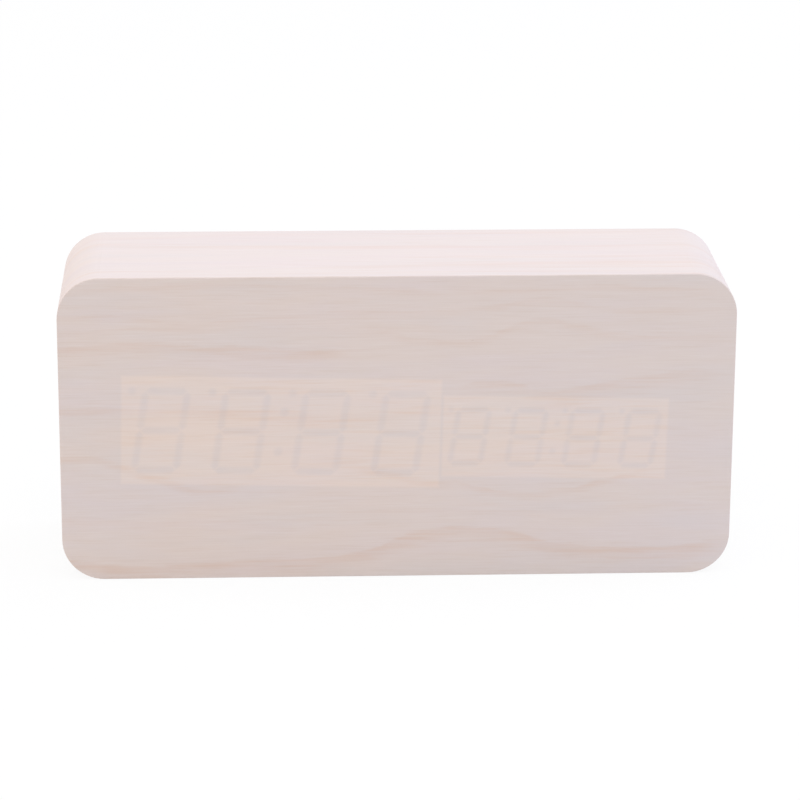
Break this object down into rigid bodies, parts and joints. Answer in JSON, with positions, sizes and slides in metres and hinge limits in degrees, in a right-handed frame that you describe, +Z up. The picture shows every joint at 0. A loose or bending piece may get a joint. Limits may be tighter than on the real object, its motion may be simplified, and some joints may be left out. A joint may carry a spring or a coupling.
{
  "type": "digital desk clock",
  "caption": "Rounded block desk clock in pale wood veneer; LED displays show through the front, with buttons, DC inlet and hinged battery door at the rear.",
  "frame": {"origin": "centre of the footprint on the table", "axes": "+Z up, the display faces -Y, +X to the right as the display is read"},
  "size_m": [0.15, 0.04, 0.07],
  "materials": {
    "veneer": "pale whitewashed veneer, satin lacquer",
    "fibreboard": "raw medium-density fibreboard",
    "display_housing": "white reflector housing, satin",
    "display_segments": "milky epoxy, unlit",
    "tinned_pins": "tinned",
    "circuit_board": "green solder mask",
    "screw_steel": "zinc plated",
    "chip_resin": "moulded resin",
    "panel_plastic": "black, fine spark texture",
    "button_plastic": "dark grey, satin",
    "switch_plastic": "black",
    "plunger_plastic": "black",
    "contact_steel": "nickel plated",
    "red_insulation": "satin",
    "black_insulation": "satin",
    "cable_insulation": "grey, satin",
    "buzzer_plastic": "black",
    "capsule_aluminium": "bare",
    "sensor_resin": "black epoxy bead",
    "capacitor_sleeve": "dark sleeve",
    "crystal_can": "bright can",
    "coin_steel": "bright",
    "holder_plastic": "black",
    "jack_plastic": "black",
    "jack_pin_brass": "bright",
    "cell_sleeve": "printed foil sleeve on a steel can"
  },
  "bodies": {
    "case": {"alarm_buzzer": "buzzer_plastic", "backup_coin_cell": "coin_steel", "battery_cell_1": "cell_sleeve", "battery_cell_2": "cell_sleeve", "battery_cell_3": "cell_sleeve", "battery_cell_4": "cell_sleeve", "battery_contacts": "contact_steel", "battery_lead_black": "black_insulation", "battery_lead_red": "red_insulation", "battery_springs": "contact_steel", "board_cable": "cable_insulation", "case_core": "fibreboard", "clock_crystal": "crystal_can", "coin_cell_clip": "contact_steel", "coin_cell_holder": "holder_plastic", "control_board": "circuit_board", "control_board_screws": "screw_steel", "controller_chip": "chip_resin", "date_display_housing": "display_housing", "date_display_pins": "tinned_pins", "date_display_segments": "display_segments", "dc_jack_body": "jack_plastic", "dc_jack_pin": "jack_pin_brass", "display_board": "circuit_board", "display_board_screws": "screw_steel", "down_switch_body": "switch_plastic", "filter_capacitor": "capacitor_sleeve", "front_veneer": "veneer", "led_driver_chip": "chip_resin", "microphone": "capsule_aluminium", "rear_panel": "panel_plastic", "rear_panel_screws": "screw_steel", "set_switch_body": "switch_plastic", "temperature_sensor": "sensor_resin", "time_display_housing": "display_housing", "time_display_pins": "tinned_pins", "time_display_segments": "display_segments", "up_switch_body": "switch_plastic", "wrap_veneer": "veneer"},
    "battery_door": {"battery_door": "panel_plastic", "battery_door_latch": "panel_plastic"},
    "set_button": {"set_button": "button_plastic", "set_switch_plunger": "plunger_plastic"},
    "up_button": {"up_button": "button_plastic", "up_switch_plunger": "plunger_plastic"},
    "down_button": {"down_button": "button_plastic", "down_switch_plunger": "plunger_plastic"}
  },
  "joints": [
    {"name": "battery_door_hinge", "type": "hinge", "parent": "case", "child": "battery_door", "pos_m": [-0.0615, 0.0177, 0.035], "axis": [0, 0, 1], "range_deg": [0, 75], "deforming": ["battery_door_latch"]},
    {"name": "set_button_press", "type": "slide", "parent": "case", "child": "set_button", "axis": [0, -1, 0], "range_m": [0, 0.0003], "stiffness_N_per_m": 3000, "springref_m": -0.0002},
    {"name": "up_button_press", "type": "slide", "parent": "case", "child": "up_button", "axis": [0, -1, 0], "range_m": [0, 0.0003], "stiffness_N_per_m": 3000, "springref_m": -0.0002},
    {"name": "down_button_press", "type": "slide", "parent": "case", "child": "down_button", "axis": [0, -1, 0], "range_m": [0, 0.0003], "stiffness_N_per_m": 3000, "springref_m": -0.0002}
  ]
}
